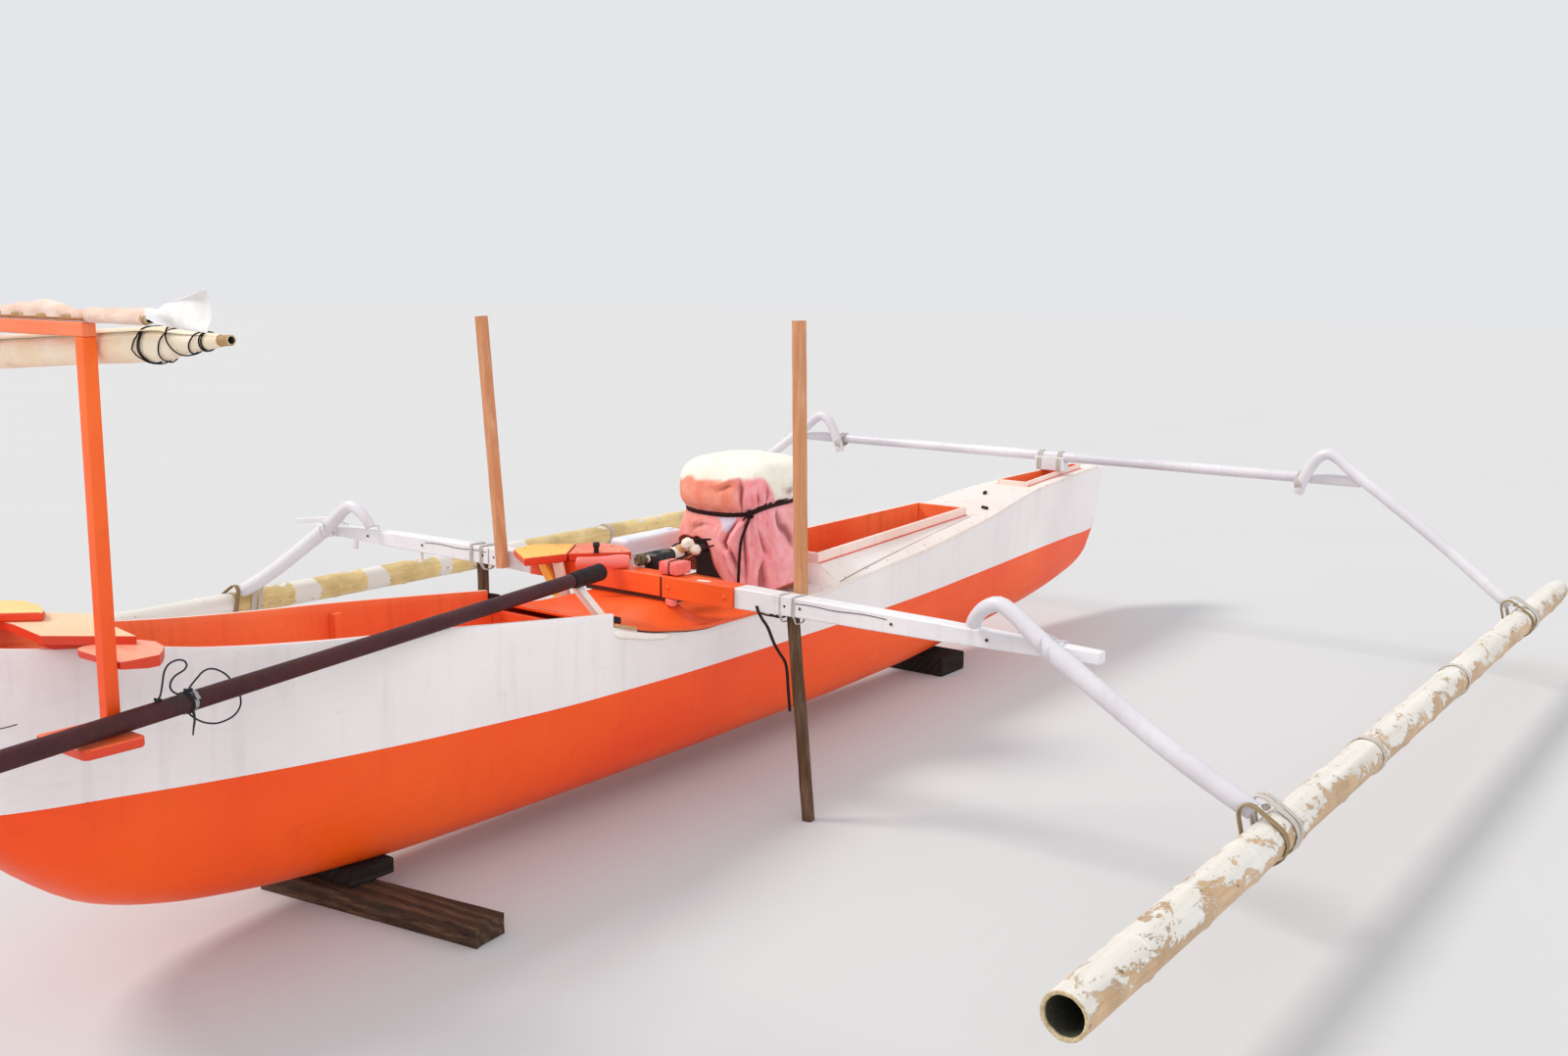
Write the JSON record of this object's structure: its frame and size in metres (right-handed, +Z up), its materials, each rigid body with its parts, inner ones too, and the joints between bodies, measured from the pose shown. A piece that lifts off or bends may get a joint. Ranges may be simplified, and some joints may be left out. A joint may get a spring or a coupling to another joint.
{
  "type": "double outrigger canoe",
  "caption": "Narrow painted wooden canoe with a bamboo float on each side, covered inboard engine, stern rack and stowed propeller shaft.",
  "frame": {"origin": "on the ground under the middle of the overall box of the boat, without its loose cords", "axes": "+X towards the bow, +Y to port, +Z up"},
  "size_m": [6.4366, 4.314, 1.59],
  "materials": {
    "paint_white": "brushed gloss enamel over planed timber, lightly stained and scuffed",
    "paint_orange": "brushed gloss enamel over planed timber",
    "paint_pale": "sun-bleached thin orange enamel",
    "raw_wood": "sawn unpainted softwood with long grain",
    "old_wood": "weathered dark timber, dirty and cracked",
    "bamboo": "dry bamboo culm with flaking white paint",
    "sail_cloth": "thin woven tarpaulin cloth, creased, water-stained",
    "cover_cloth": "faded pink cotton cloth, gathered under a tie, sun-bleached on top",
    "engine_black": "oily black cast iron",
    "olive_metal": "olive paint, greasy",
    "shaft_brown": "dark red-brown primer on steel tube",
    "black_rubber": "matt black rubber sleeve",
    "can_plastic": "white translucent polyethylene, scuffed",
    "pad_pink": "faded pink foam rubber",
    "bronze": "cast bronze, dulled",
    "cord_dark": "dark braided cord"
  },
  "bodies": {
    "boat": {"hull_bottom": "paint_orange", "side_plank_aft_starboard": "paint_white", "side_plank_aft_port": "paint_white", "side_plank_forward_starboard": "paint_white", "side_plank_forward_port": "paint_white", "stem_post": "paint_white", "stern_post": "paint_white", "rib_aft": "paint_orange", "rib_forward": "paint_orange", "well_bulkhead": "paint_orange", "stern_deck": "paint_orange", "engine_deck": "paint_orange", "foredeck": "paint_white", "fore_hatch_coaming": "paint_white", "bow_hatch_coaming": "paint_white", "main_beam": "paint_orange", "main_arm_starboard": "paint_white", "main_arm_port": "paint_white", "front_arm": "paint_white", "main_strut_starboard": "paint_white", "main_strut_port": "paint_white", "front_strut_starboard": "paint_white", "front_strut_port": "paint_white", "float_starboard": "bamboo", "float_port": "bamboo", "bow_saddle": "paint_white", "midship_post_starboard": "raw_wood", "midship_post_port": "raw_wood", "prop_leg_starboard": "old_wood", "prop_leg_port": "old_wood", "engine_bed": "paint_orange", "engine_block": "engine_black", "engine_cover": "cover_cloth", "output_coupling": "engine_black", "gear_case": "engine_black", "drive_flange": "olive_metal", "fuel_can": "can_plastic", "beam_pad": "pad_pink", "drive_arm": "paint_pale", "helm_seat": "paint_orange", "rack_board": "paint_orange", "stern_seat": "paint_orange", "rack_post_starboard": "paint_orange", "rack_post_port": "paint_orange", "shaft_tray": "paint_orange", "rack_bar": "paint_orange", "upper_spar": "bamboo", "rolled_sail": "sail_cloth", "sail_corner": "sail_cloth", "shaft_sleeve": "black_rubber", "shaft_tube": "shaft_brown", "shaft_rest": "paint_pale", "bearer_plank": "old_wood", "bearer_log": "old_wood", "bow_block": "old_wood", "hanging_strap": "cord_dark", "cover_cord": "cord_dark", "ring_loop": "cord_dark", "bracket_loop": "cord_dark"},
    "propeller": {"propeller": "bronze"}
  },
  "joints": [
    {"name": "propeller_spin", "type": "hinge", "parent": "boat", "child": "propeller", "pos_m": [-3.15757, -0.61022, 0.74703], "axis": [-0.9792, -0.2029, 0.005], "continuous": true}
  ]
}
